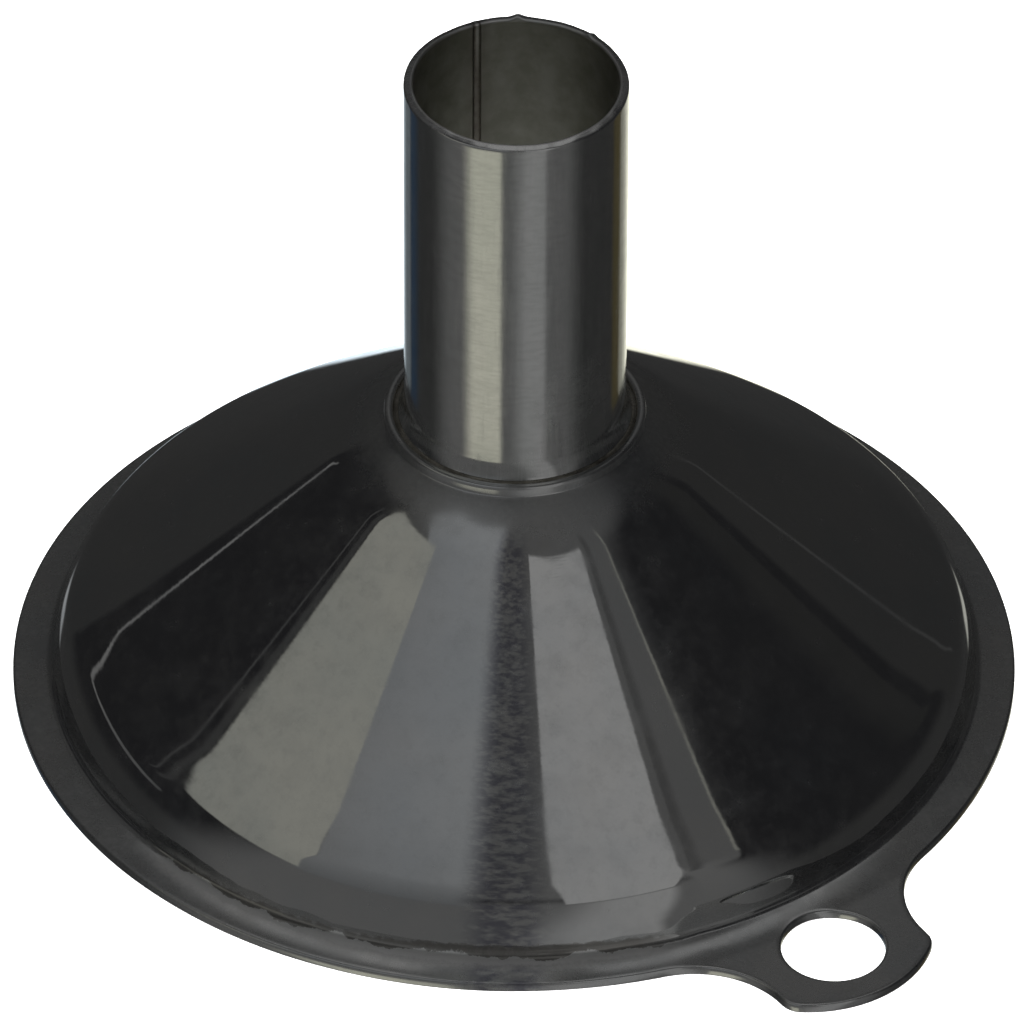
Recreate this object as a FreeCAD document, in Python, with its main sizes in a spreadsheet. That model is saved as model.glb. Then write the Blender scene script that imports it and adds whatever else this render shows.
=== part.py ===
import FreeCAD, Part
import math
import os
import re

import Sketcher

# Small pressed-steel funnel, standing on its mouth.
# Frame: origin on the funnel's axis, in the plane of the rim's underside; +Z up along the spout;
# +X towards the hanging tab.  Millimetres and degrees.

DIMENSIONS = {
    # one strip thickness serves the bowl and the spout
    "sheet": 0.5,
    # bowl, outside surface
    "rim_radius": 27.5,
    "wall_radius": 25.45,
    "shoulder_radius": 24.9,
    "shoulder_height": 3.5,
    "shoulder_round": 4.0,
    "crease_round": 0.4,
    "lip_radius": 7.1,
    "lip_base_height": 17.9,
    "lip_height": 18.05,
    "lip_round": 0.1,
    # hanging tab
    "tab_width": 9.6,
    "tab_root": 26.2,
    "tab_reach": 34.1,
    "tab_end_round": 7.0,
    "tab_corner_round": 1.2,
    "tab_side_round": 5.5,
    "hang_hole_radius": 2.8,
    "hang_hole_offset": 29.65,
    # spout
    "spout_radius": 6.0,
    "spout_end_height": 40.0,
    "skirt_radius": 8.6,
    # lengthwise seam of the rolled spout: its width and its bearing from the tab
    "seam_angle": 4.0,
    "seam_bearing": 167.0,
    # braze in the groove between the spout's flare and the neck lip
    "braze_lip_rise": 0.19,
    "braze_spout_rise": 0.29,
}

# Rise of the cone per millimetre of radius, and the height of its inside edge at the neck hole.
CONE_SLOPE = "(lip_base_height - shoulder_height) / (shoulder_radius - lip_radius)"
NECK_RADIUS = "(lip_radius - sheet)"
NECK_EDGE_HEIGHT = (
    "(lip_base_height + sheet * (%s) - sheet / cos(atan(%s)))" % (CONE_SLOPE, CONE_SLOPE)
)
# The spout's foot flares on an arc that turns from upright to the cone's slope at the neck hole's edge.
FLARE_ROUND = "((%s - spout_radius) / (1 - sin(atan(%s))))" % (NECK_RADIUS, CONE_SLOPE)

# The sketcher's numbers for its own axes and for a curve's points.
ORIGIN = -1
X_AXIS = -1
Y_AXIS = -2
START = 1
END = 2
CENTRE = 3

# Points closer than this, in millimetres, are the same point.
TOUCHING = 0.001

doc = FreeCAD.newDocument("Funnel")


def make_dimension_sheet():
    sheet = doc.addObject("Spreadsheet::Sheet", "Dimensions")
    for row, (alias, value) in enumerate(DIMENSIONS.items(), start=1):
        sheet.set("A%d" % row, alias)
        sheet.set("B%d" % row, str(value))
        sheet.setAlias("B%d" % row, alias)
    doc.recompute()


def bind(feature, property_name, formula):
    """Drive a property from the dimension sheet."""
    words = re.sub(r"[a-z_]+", lambda word: sheet_name(word.group()), formula)
    feature.setExpression(property_name, words)


def sheet_name(word):
    return "Dimensions." + word if word in DIMENSIONS else word


def new_body(label):
    body = doc.addObject("PartDesign::Body", label)
    body.Label = label
    return body


def origin_feature(body, role):
    return next(item for item in body.Origin.OriginFeatures if item.Role == role)


def new_sketch(body, name, plane_role):
    sketch = body.newObject("Sketcher::SketchObject", name)
    sketch.AttachmentSupport = [(origin_feature(body, plane_role), "")]
    sketch.MapMode = "FlatFace"
    return sketch


def line(sketch, start, end):
    return sketch.addGeometry(Part.LineSegment(FreeCAD.Vector(*start, 0), FreeCAD.Vector(*end, 0)))


def arc(sketch, centre, radius, from_degrees, to_degrees):
    circle = Part.Circle(FreeCAD.Vector(*centre, 0), FreeCAD.Vector(0, 0, 1), radius)
    return sketch.addGeometry(
        Part.ArcOfCircle(circle, math.radians(from_degrees), math.radians(to_degrees))
    )


def circle(sketch, centre, radius):
    return sketch.addGeometry(Part.Circle(FreeCAD.Vector(*centre, 0), FreeCAD.Vector(0, 0, 1), radius))


def constrain(sketch, kind, *where):
    return sketch.addConstraint(Sketcher.Constraint(kind, *where))


def present_size(sketch, kind, where):
    if kind == "Radius":
        return sketch.Geometry[where[0]].Radius
    gap = sketch.getPoint(where[2], where[3]) - sketch.getPoint(where[0], where[1])
    return gap.x if kind == "DistanceX" else gap.y


def measure(sketch, kind, name, formula, *where):
    """Add a dimension to a sketch and drive it from the sheet."""
    index = constrain(sketch, kind, *where, present_size(sketch, kind, where))
    sketch.renameConstraint(index, name)
    bind(sketch, "Constraints." + name, formula)


def place_point(sketch, name, geometry, end, across, up):
    """Hold a point at a distance across and up from the sketch's origin."""
    measure(sketch, "DistanceX", name + "_across", across, ORIGIN, START, geometry, end)
    measure(sketch, "DistanceY", name + "_up", up, ORIGIN, START, geometry, end)


def revolve(body, name, sketch, angle_formula):
    """Turn a section about the upright axis, half the angle to each side of its plane."""
    turned = body.newObject("PartDesign::Revolution", name)
    turned.Profile = sketch
    turned.ReferenceAxis = (sketch, ["V_Axis"])
    turned.Midplane = True
    bind(turned, "Angle", angle_formula)
    doc.recompute()
    return turned


def fillet(body, name, base, edges, radius_formula):
    rounded = body.newObject("PartDesign::Fillet", name)
    rounded.Base = (base, edges)
    bind(rounded, "Radius", radius_formula)
    doc.recompute()
    return rounded


def ring_edges(feature, low, high=None):
    """Circular edges round the funnel's axis in a range of height, as (radius, name), smallest first."""
    middle = (low + (high or low)) / 2
    reach = middle - low + TOUCHING
    found = []
    for number, edge in enumerate(feature.Shape.Edges, start=1):
        curve = edge.Curve
        if not isinstance(curve, Part.Circle):
            continue
        off_axis = math.hypot(curve.Center.x, curve.Center.y)
        if off_axis < TOUCHING and abs(curve.Center.z - middle) < reach:
            found.append((curve.Radius, "Edge%d" % number))
    return sorted(found)


def upright_edges(feature, x_range):
    """Straight edges parallel to Z at a tab side, within a range of x."""
    found = []
    for number, edge in enumerate(feature.Shape.Edges, start=1):
        low, high = edge.Vertexes[0].Point, edge.Vertexes[-1].Point
        lean = math.hypot(high.x - low.x, high.y - low.y)
        upright = lean < TOUCHING and abs(high.z - low.z) > DIMENSIONS["sheet"] / 2
        at_side = abs(abs(low.y) - DIMENSIONS["tab_width"] / 2) < TOUCHING
        if upright and at_side and x_range[0] < low.x < x_range[1]:
            found.append("Edge%d" % number)
    return found


def flat_face(feature, height):
    """Name of the level face at a height."""
    for number, face in enumerate(feature.Shape.Faces, start=1):
        box = face.BoundBox
        if box.ZLength < TOUCHING and abs(box.ZMin - height) < TOUCHING:
            return "Face%d" % number
    raise ValueError("no level face at height %g" % height)


def make_bowl():
    size = DIMENSIONS
    body = new_body("bowl")

    # solid of the bowl's outside surface, from the rim's crease up to the neck lip
    outside = new_sketch(body, "OutsideSection", "XZ_Plane")
    corners = [
        ("foot", "wall_radius", "0"),
        ("shoulder", "shoulder_radius", "shoulder_height"),
        ("lip_base", "lip_radius", "lip_base_height"),
        ("lip_top", "lip_radius", "lip_height"),
        ("axis_top", "0", "lip_height"),
        ("axis_foot", "0", "0"),
    ]
    points = [(size.get(across, 0), size.get(up, 0)) for _, across, up in corners]
    for start, end in zip(points, points[1:] + points[:1]):
        line(outside, start, end)
    for index, (name, across, up) in enumerate(corners):
        constrain(outside, "Coincident", index, START, (index - 1) % len(corners), END)
        if name.startswith("axis"):
            constrain(outside, "PointOnObject", index, START, Y_AXIS)
        else:
            measure(outside, "DistanceX", name + "_across", across, ORIGIN, START, index, START)
        if up == "0":
            constrain(outside, "PointOnObject", index, START, X_AXIS)
        else:
            measure(outside, "DistanceY", name + "_up", up, ORIGIN, START, index, START)
    solid = revolve(body, "OutsideSolid", outside, "360")

    shell = body.newObject("PartDesign::Thickness", "Shell")
    shell.Base = (solid, [flat_face(solid, 0), flat_face(solid, size["lip_height"])])
    shell.Reversed = True
    shell.Join = "Intersection"
    bind(shell, "Value", "sheet")
    doc.recompute()
    outer = ring_edges(shell, size["shoulder_height"])
    rounded = fillet(body, "ShoulderOutside", shell, [outer[0][1]], "shoulder_round")
    inner = ring_edges(rounded, size["shoulder_height"] - size["sheet"], size["shoulder_height"])
    fillet(body, "ShoulderInside", rounded, [inner[0][1]], "shoulder_round - sheet")

    # rim flange, starting halfway through the wall
    flange = new_sketch(body, "FlangeOutline", "XY_Plane")
    root_radius = size["wall_radius"] - size["sheet"] / 2
    for name, radius, formula in (
        ("rim", size["rim_radius"], "rim_radius"),
        ("root", root_radius, "wall_radius - sheet / 2"),
    ):
        ring = circle(flange, (0, 0), radius)
        constrain(flange, "Coincident", ring, CENTRE, ORIGIN, START)
        measure(flange, "Radius", name, formula, ring)
    rim = body.newObject("PartDesign::Pad", "Flange")
    rim.Profile = flange
    bind(rim, "Length", "sheet")

    tab = new_sketch(body, "TabOutline", "XY_Plane")
    side = size["tab_width"] / 2
    end_centre = size["tab_reach"] - size["tab_end_round"]
    half_angle = math.asin(side / size["tab_end_round"])
    half_turn = math.degrees(half_angle)
    corner = end_centre + size["tab_end_round"] * math.cos(half_angle)
    right = line(tab, (size["tab_root"], -side), (corner, -side))
    tip = arc(tab, (end_centre, 0), size["tab_end_round"], -half_turn, half_turn)
    left = line(tab, (corner, side), (size["tab_root"], side))
    root = line(tab, (size["tab_root"], side), (size["tab_root"], -side))
    for first, second in ((right, tip), (tip, left), (left, root), (root, right)):
        constrain(tab, "Coincident", first, END, second, START)
    constrain(tab, "Horizontal", right)
    constrain(tab, "Horizontal", left)
    constrain(tab, "Symmetric", root, START, root, END, X_AXIS)
    constrain(tab, "PointOnObject", tip, CENTRE, X_AXIS)
    measure(tab, "DistanceX", "root", "tab_root", ORIGIN, START, root, END)
    measure(tab, "DistanceX", "end_centre", "tab_reach - tab_end_round", ORIGIN, START, tip, CENTRE)
    measure(tab, "Radius", "end_round", "tab_end_round", tip)
    measure(tab, "DistanceY", "width", "tab_width", root, END, root, START)
    plate = body.newObject("PartDesign::Pad", "Tab")
    plate.Profile = tab
    bind(plate, "Length", "sheet")
    doc.recompute()

    tips = upright_edges(plate, (size["rim_radius"], size["tab_reach"]))
    blended = fillet(body, "TabCorners", plate, tips, "tab_corner_round")
    sides = upright_edges(blended, (size["tab_root"], size["rim_radius"]))
    blended = fillet(body, "TabSides", blended, sides, "tab_side_round")

    creases = [ring_edges(blended, size["sheet"])[0][1]]
    blended = fillet(body, "CreaseOutside", blended, creases, "crease_round")
    creases = [ring_edges(blended, 0)[0][1]]
    blended = fillet(body, "CreaseInside", blended, creases, "crease_round + sheet")
    lips = [name for _, name in ring_edges(blended, size["lip_height"])]
    fillet(body, "NeckLip", blended, lips, "lip_round")

    hole = new_sketch(body, "HangHoleOutline", "XY_Plane")
    ring = circle(hole, (size["hang_hole_offset"], 0), size["hang_hole_radius"])
    constrain(hole, "PointOnObject", ring, CENTRE, X_AXIS)
    measure(hole, "DistanceX", "offset", "hang_hole_offset", ORIGIN, START, ring, CENTRE)
    measure(hole, "Radius", "bore", "hang_hole_radius", ring)
    before = body.Shape.Volume
    pocket = body.newObject("PartDesign::Pocket", "HangHole")
    pocket.Profile = hole
    pocket.Type = "ThroughAll"
    pocket.Reversed = True
    doc.recompute()
    wanted = math.pi * size["hang_hole_radius"] ** 2 * size["sheet"]
    if abs(before - body.Shape.Volume - wanted) > wanted / 100:
        raise ValueError("the hanging hole did not cut the tab")
    return body


def neck_geometry():
    """Where the spout's flare meets the bowl: cone angle, neck hole's lower edge, flare centre and radius."""
    size = DIMENSIONS
    rise = size["lip_base_height"] - size["shoulder_height"]
    slope = math.atan(rise / (size["shoulder_radius"] - size["lip_radius"]))
    across = size["lip_radius"] - size["sheet"]
    up = size["lip_base_height"] + size["sheet"] * (math.tan(slope) - 1 / math.cos(slope))
    radius = (across - size["spout_radius"]) / (1 - math.sin(slope))
    centre = (size["spout_radius"] + radius, up + radius * math.cos(slope))
    return slope, (across, up), centre, radius


def spout_section(body):
    """Wall of the spout: straight tube, flare and the skirt that laps under the cone."""
    size = DIMENSIONS
    slope, neck, centre, radius = neck_geometry()
    outside = size["spout_radius"]
    inside = outside - size["sheet"]
    top = size["spout_end_height"]
    under = FreeCAD.Vector(-math.sin(slope), -math.cos(slope)) * size["sheet"]
    skirt_top = (size["skirt_radius"], neck[1] - (size["skirt_radius"] - neck[0]) * math.tan(slope))
    skirt_under = (skirt_top[0] + under.x, skirt_top[1] + under.y)
    neck_under = (neck[0] + under.x, neck[1] + under.y)
    flare_end = 270 - math.degrees(slope)

    sketch = new_sketch(body, "WallSection", "XZ_Plane")
    outer = line(sketch, (outside, top), (outside, centre[1]))
    flare = arc(sketch, centre, radius, 180, flare_end)
    skirt = line(sketch, neck, skirt_top)
    hem = line(sketch, skirt_top, skirt_under)
    skirt_inner = line(sketch, skirt_under, neck_under)
    flare_inner = arc(sketch, centre, radius + size["sheet"], 180, flare_end)
    inner = line(sketch, (inside, centre[1]), (inside, top))
    end = line(sketch, (inside, top), (outside, top))

    constrain(sketch, "Tangent", outer, END, flare, START)
    constrain(sketch, "Tangent", flare, END, skirt, START)
    constrain(sketch, "Coincident", skirt, END, hem, START)
    constrain(sketch, "Coincident", hem, END, skirt_inner, START)
    constrain(sketch, "Tangent", skirt_inner, END, flare_inner, END)
    constrain(sketch, "Tangent", flare_inner, START, inner, START)
    constrain(sketch, "Coincident", inner, END, end, START)
    constrain(sketch, "Coincident", end, END, outer, START)
    constrain(sketch, "Coincident", flare, CENTRE, flare_inner, CENTRE)
    constrain(sketch, "Vertical", outer)
    constrain(sketch, "Vertical", inner)
    constrain(sketch, "Horizontal", end)
    constrain(sketch, "Perpendicular", skirt, hem)
    constrain(sketch, "Parallel", skirt, skirt_inner)
    place_point(sketch, "spout_end", end, END, "spout_radius", "spout_end_height")
    place_point(sketch, "neck_edge", skirt, START, NECK_RADIUS, NECK_EDGE_HEIGHT)
    measure(sketch, "DistanceX", "wall", "sheet", end, START, end, END)
    measure(sketch, "DistanceX", "skirt", "skirt_radius", ORIGIN, START, skirt, END)
    measure(sketch, "Radius", "flare", FLARE_ROUND, flare)
    return sketch


def make_spout_tube():
    body = new_body("spout_tube")
    revolve(body, "RolledWall", spout_section(body), "360 - seam_angle")
    bind(body, ".Placement.Rotation.Angle", "seam_bearing - 180")
    return body


def make_seam_weld():
    body = new_body("seam_weld")
    revolve(body, "Bead", spout_section(body), "seam_angle")
    bind(body, ".Placement.Rotation.Angle", "seam_bearing")
    return body


def make_neck_braze():
    """Ring of braze filling the groove between the spout's flare and the edge of the neck hole."""
    size = DIMENSIONS
    slope, neck, centre, radius = neck_geometry()
    lip_side = (neck[0], neck[1] + size["braze_lip_rise"])
    spout_side_up = neck[1] + size["braze_spout_rise"]
    turn = math.asin((centre[1] - spout_side_up) / radius)
    spout_side = (centre[0] - radius * math.cos(turn), spout_side_up)

    body = new_body("neck_braze")
    sketch = new_sketch(body, "GrooveSection", "XZ_Plane")
    flare = arc(sketch, centre, radius, 180 + math.degrees(turn), 270 - math.degrees(slope))
    wall = line(sketch, neck, lip_side)
    top = line(sketch, lip_side, spout_side)
    constrain(sketch, "Coincident", flare, END, wall, START)
    constrain(sketch, "Coincident", wall, END, top, START)
    constrain(sketch, "Coincident", top, END, flare, START)
    constrain(sketch, "Vertical", wall)
    place_point(sketch, "neck_edge", wall, START, NECK_RADIUS, NECK_EDGE_HEIGHT)
    measure(sketch, "DistanceY", "lip_side", "braze_lip_rise", wall, START, wall, END)
    measure(sketch, "DistanceY", "spout_side", "braze_spout_rise", wall, START, top, END)
    measure(sketch, "Radius", "flare", FLARE_ROUND, flare)
    measure(sketch, "DistanceX", "centre", "spout_radius + " + FLARE_ROUND, ORIGIN, START, flare, CENTRE)
    revolve(body, "Ring", sketch, "360")
    return body


def check_document():
    for item in doc.Objects:
        if "Invalid" in item.State or "Error" in item.State:
            raise ValueError("%s failed: %s" % (item.Name, item.State))


def export_parts(bodies):
    os.makedirs("parts", exist_ok=True)
    for body in bodies:
        shape = body.Shape
        if shape.isNull() or not shape.isValid() or len(shape.Solids) != 1:
            raise ValueError("%s is not one sound solid" % body.Label)
        shape.exportStep("parts/%s.step" % body.Label)
        print("%-12s %9.3f mm3  height %.3f to %.3f" % (
            body.Label, shape.Volume, shape.BoundBox.ZMin, shape.BoundBox.ZMax
        ))


make_dimension_sheet()
PARTS = [make_bowl(), make_spout_tube(), make_seam_weld(), make_neck_braze()]
doc.recompute()
check_document()
export_parts(PARTS)
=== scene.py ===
"""Small pressed-steel funnel standing on its mouth: the looks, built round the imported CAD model.

Frame: metres, origin on the funnel's axis in the plane of the rim's underside, +Z up along the spout,
+X towards the hanging tab.  Shapes are worked out in millimetres and scaled when a mesh is made.
Bearings are degrees anticlockwise from the tab.
"""

import math

import bmesh
import bpy
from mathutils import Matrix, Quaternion, Vector, geometry, noise


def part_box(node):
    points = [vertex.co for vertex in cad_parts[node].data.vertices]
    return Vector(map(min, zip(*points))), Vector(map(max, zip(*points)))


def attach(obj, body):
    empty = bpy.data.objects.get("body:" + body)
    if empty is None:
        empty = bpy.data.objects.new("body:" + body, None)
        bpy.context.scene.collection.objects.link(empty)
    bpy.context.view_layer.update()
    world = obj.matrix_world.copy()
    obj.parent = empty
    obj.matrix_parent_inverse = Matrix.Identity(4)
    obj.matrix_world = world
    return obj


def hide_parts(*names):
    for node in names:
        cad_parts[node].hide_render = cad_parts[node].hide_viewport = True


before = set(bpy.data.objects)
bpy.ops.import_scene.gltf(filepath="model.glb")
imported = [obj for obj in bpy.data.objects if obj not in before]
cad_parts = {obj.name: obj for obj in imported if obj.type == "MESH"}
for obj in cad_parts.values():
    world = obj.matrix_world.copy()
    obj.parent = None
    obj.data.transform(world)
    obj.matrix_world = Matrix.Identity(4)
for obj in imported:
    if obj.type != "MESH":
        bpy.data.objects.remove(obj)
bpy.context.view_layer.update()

MM = 0.001

# ---------------------------------------------------------------- sizes, in millimetres

_, bowl_high = (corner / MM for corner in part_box("bowl"))
_, spout_high = (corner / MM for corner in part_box("spout_tube"))

SHEET = 0.5
RIM_RADIUS = bowl_high.y
TAB_REACH = bowl_high.x
SPOUT_RADIUS = 6.0
SPOUT_END = spout_high.z
SKIRT_RADIUS = spout_high.y

# bowl's outside corners as (radius, height), and the rounds on them
WALL_FOOT = (25.45, 0.0)
SHOULDER = (24.9, 3.5)
LIP_BASE = (7.1, 17.9)
SHOULDER_ROUND = 4.0
CREASE_ROUND = 0.4

# foot of the cone: it steepens a little before the shoulder
FOOT_START = 22.6
FOOT_SLOPE = math.radians(41.0)
FOOT_ROUND = 48.0

# neck of the bowl: the cone flattens a little before the lip, which is a small upright collar
NECK_START = 8.8
NECK_SLOPE = math.radians(29.0)
NECK_ROUND = 18.0
LIP_TOP = 18.05
LIP_ROUND = 0.2
LIP_FOOT_ROUND = 0.08

# hanging tab
TAB_WIDTH = 9.6
TAB_END_ROUND = 7.0
TAB_CORNER_ROUND = 1.2
TAB_SIDE_ROUND = 5.5
HOLE_RADIUS = 2.8
HOLE_OFFSET = 29.65

# flange: its inner side stands a little proud, so that it falls away to the rim, and it waves a
# little.  Nothing is uneven above PRESSED_HEIGHT.
FLANGE_DROOP = 0.3
FLANGE_FOOT = 25.6
FLANGE_WAVE = 0.02
PRESSED_HEIGHT = 2.2

# sheared edge of the plate as (inset, height): rolled over on top, slightly eased below
SHEARED_EDGE = (
    (0.32, 0.5), (0.16, 0.5), (0.1, 0.492), (0.05, 0.465), (0.015, 0.42), (0.0, 0.36),
    (0.0, 0.2), (0.0, 0.06), (0.012, 0.02), (0.04, 0.0), (0.16, 0.0), (0.32, 0.0),
)

# marks of making and use, and painted light: the scuffed strip, the side where the crease is uneven and
# carries a painted shade and a painted highlight, the part of it where the painted shade reaches highest,
# and a smudge on the spout.  A spread gives the angles to either side of a bearing at which a mark starts
# to fade and ends.
SCUFF_BEARING = -36.3
SCUFF_SPREAD = (3.2, 6.0)
CREASE_PLACE = (25.56, 0.86)
CREASE_BEARING = -50.0
CREASE_SPREAD = (30.0, 38.0)
CREASE_WANDER_FADE = 15
CREASE_WANDER_RADIUS = 25.5
CREASE_WANDER_WIDTH = 0.5
SHADE_BEARING = -34.0
SHADE_SPREAD = (9.0, 20.0)
SHADE_REACH = (0.24, 0.5)
SMUDGE_PLACE = (6.0, -0.3, 22.5)
SMUDGE_SIZE = 3.2

# seam of the rolled spout, and its bead
SEAM_ANGLE = 4.0
SEAM_BEARING = 167.0
BEAD_CROWN = 0.035
BEAD_RIPPLE = 0.35
BEAD_PERIOD = 0.55

# cut end of the spout, and its burrs as (bearing, width in degrees, height)
CUT_ROUND = 0.1
CUT_BEVEL = 0.15
CUT_DEPTH = 1.2
BURRS = ((144.0, 3.0, 0.22), (100.5, 2.0, 0.14))
BURR_DEPTH = 0.8

# braze: how far it climbs the flare and the neck hole's edge, and how lumpy its top is
BRAZE_ON_FLARE = 0.29
BRAZE_ON_NECK = 0.19
BRAZE_CROWN = 0.02
BRAZE_LUMPS = 0.035

# where the flat flange meets the turned part of the bowl, and the steps round each piece
JOIN_RADIUS = 26.05
BOWL_STEPS = 512
SPOUT_STEPS = 288

# spacing of the corners of the flat flange's triangles
OUTLINE_SPACING = 0.27
HOLE_SPACING = 0.22
RING_SPACING = 0.36
RING_STEP = 0.38
GRID_SPACING = 0.45


# ---------------------------------------------------------------- outlines


def on_line(first, second, height):
    """Radius at a height on the straight line through two (radius, height) points."""
    share = (height - first[1]) / (second[1] - first[1])
    return first[0] + (second[0] - first[0]) * share


def crossing(point, direction, other_point, other_direction):
    """Where two straight lines of a section meet."""
    across = Vector(other_point) - Vector(point)
    cross = direction[0] * other_direction[1] - direction[1] * other_direction[0]
    run = (across.x * other_direction[1] - across.y * other_direction[0]) / cross
    return (point[0] + direction[0] * run, point[1] + direction[1] * run)


def stretch(start, end, count):
    """Points evenly spaced between two points, without the last one."""
    return [Vector(start).lerp(Vector(end), step / count) for step in range(count)]


def rounded(corners):
    """Trace an open section through corners of (point, round, arc steps, steps of the run after it)."""
    traced = []
    ends = []
    count = len(corners)
    for index, (point, radius, _, _) in enumerate(corners):
        here = Vector(point)
        if radius == 0 or index in (0, count - 1):
            ends.append((here, here, None))
            continue
        back = (Vector(corners[index - 1][0]) - here).normalized()
        ahead = (Vector(corners[index + 1][0]) - here).normalized()
        half = back.angle(ahead) / 2
        reach = radius / math.tan(half)
        centre = here + (back + ahead).normalized() * (radius / math.sin(half))
        ends.append((here + back * reach, here + ahead * reach, centre))
    for index, (start, end, centre) in enumerate(ends):
        _, radius, arc_steps, run_steps = corners[index]
        if centre is None:
            traced.append(start)
        else:
            first, last = start - centre, end - centre
            turn = first.angle_signed(last)
            for step in range(arc_steps + 1):
                share = -turn * step / arc_steps
                spun = Vector((
                    first.x * math.cos(share) - first.y * math.sin(share),
                    first.x * math.sin(share) + first.y * math.cos(share),
                ))
                traced.append(centre + spun)
        if index + 1 < count:
            traced.extend(stretch(end, ends[index + 1][0], run_steps)[1:])
    return traced


def bowl_section():
    """The bowl's sheet from the flange's top, over the outside, round the lip and back along the inside."""
    slope = math.atan2(LIP_BASE[1] - SHOULDER[1], SHOULDER[0] - LIP_BASE[0])
    up_cone = (-math.cos(slope), math.sin(slope))
    up_wall = (Vector(SHOULDER) - Vector(WALL_FOOT)).normalized()
    inward = (-math.sin(slope), -math.cos(slope))
    cone_inside = (LIP_BASE[0] + inward[0] * SHEET, LIP_BASE[1] + inward[1] * SHEET)
    wall_inside = (WALL_FOOT[0] - up_wall.y * SHEET, WALL_FOOT[1] + up_wall.x * SHEET)
    neck = crossing(SHOULDER, up_cone, (NECK_START, 0), (0, 1))
    lip_foot = crossing(neck, (-math.cos(NECK_SLOPE), math.sin(NECK_SLOPE)), (LIP_BASE[0], 0), (0, 1))
    hole_radius = LIP_BASE[0] - SHEET
    hole_edge = crossing(cone_inside, up_cone, (hole_radius, 0), (0, 1))
    up_foot = (-math.cos(FOOT_SLOPE), math.sin(FOOT_SLOPE))
    foot = crossing(SHOULDER, up_cone, (FOOT_START, 0), (0, 1))
    foot_inside = crossing(cone_inside, up_cone, (FOOT_START - SHEET * math.sin(slope), 0), (0, 1))
    shoulder = crossing(foot, up_foot, WALL_FOOT, up_wall)
    shoulder_inside = crossing(foot_inside, up_foot, wall_inside, up_wall)
    crease = (on_line(WALL_FOOT, SHOULDER, SHEET), SHEET)
    crease_inside = crossing(wall_inside, up_wall, (0, 0), (1, 0))
    return rounded([
        ((JOIN_RADIUS, SHEET), 0, 0, 2),
        (crease, CREASE_ROUND, 10, 6),
        (shoulder, SHOULDER_ROUND, 22, 3),
        (foot, FOOT_ROUND, 8, 40),
        (neck, NECK_ROUND, 10, 2),
        (lip_foot, LIP_FOOT_ROUND, 5, 1),
        ((LIP_BASE[0], LIP_TOP), LIP_ROUND, 8, 1),
        ((hole_radius, LIP_TOP), LIP_ROUND, 8, 2),
        (hole_edge, 0, 0, 20),
        (foot_inside, FOOT_ROUND, 6, 3),
        (shoulder_inside, SHOULDER_ROUND - SHEET, 12, 3),
        (crease_inside, CREASE_ROUND + SHEET, 8, 2),
        ((JOIN_RADIUS, 0), 0, 0, 0),
    ])


def outline_arc(centre, radius, start, end, spacing, hollow=False):
    """Points along an arc of a flat outline with their outward directions, without the last point."""
    count = max(3, round(abs(math.radians(end - start)) * radius / spacing))
    found = []
    for step in range(count):
        turn = math.radians(start + (end - start) * step / count)
        ray = Vector((math.cos(turn), math.sin(turn)))
        found.append((Vector(centre) + ray * radius, -ray if hollow else ray))
    return found


def plate_outline(spacing):
    """Anticlockwise outline of the rim flange and its hanging tab."""
    side = TAB_WIDTH / 2
    fillet_up = side + TAB_SIDE_ROUND
    fillet = (math.sqrt((RIM_RADIUS + TAB_SIDE_ROUND) ** 2 - fillet_up ** 2), fillet_up)
    fillet_turn = math.degrees(math.atan2(fillet[1], fillet[0]))
    end_centre = TAB_REACH - TAB_END_ROUND
    corner_up = side - TAB_CORNER_ROUND
    corner_across = math.sqrt((TAB_END_ROUND - TAB_CORNER_ROUND) ** 2 - corner_up ** 2)
    corner_turn = math.degrees(math.atan2(corner_up, corner_across))
    corner = end_centre + corner_across
    return (
        outline_arc((end_centre, 0), TAB_END_ROUND, -corner_turn, corner_turn, spacing)
        + outline_arc((corner, corner_up), TAB_CORNER_ROUND, corner_turn, 90, spacing)
        + outline_arc(fillet, TAB_SIDE_ROUND, 270, 180 + fillet_turn, spacing, hollow=True)
        + outline_arc((0, 0), RIM_RADIUS, fillet_turn, 360 - fillet_turn, spacing)
        + outline_arc((fillet[0], -fillet[1]), TAB_SIDE_ROUND, 180 - fillet_turn, 90, spacing, hollow=True)
        + outline_arc((corner, -corner_up), TAB_CORNER_ROUND, -90, -corner_turn, spacing)
    )


# ---------------------------------------------------------------- skins


class Skin:
    """Points in millimetres and faces, gathered before they become one mesh."""

    def __init__(self):
        self.points = []
        self.faces = []

    def add(self, points):
        first = len(self.points)
        self.points.extend(Vector(point) for point in points)
        return list(range(first, len(self.points)))

    def bridge(self, lower, upper, closed=True):
        """Quads between two rows of equal length."""
        count = len(lower)
        for index in range(count if closed else count - 1):
            after = (index + 1) % count
            self.faces.append((lower[index], lower[after], upper[after], upper[index]))

    def cap(self, row):
        self.faces.append(tuple(row))

    def piece(self, name, material, slot_name, *nodes):
        """Make the mesh object, in metres, riding on the body in place of its CAD nodes."""
        mesh = bpy.data.meshes.new(name)
        mesh.from_pydata([point * MM for point in self.points], [], self.faces)
        shaped = bmesh.new()
        shaped.from_mesh(mesh)
        bmesh.ops.recalc_face_normals(shaped, faces=shaped.faces)
        shaped.to_mesh(mesh)
        shaped.free()
        mesh.shade_smooth()
        mesh.materials.append(material)
        made = bpy.data.objects.new(name, mesh)
        bpy.context.scene.collection.objects.link(made)
        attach(made, "root")
        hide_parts(*nodes)
        return made


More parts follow.
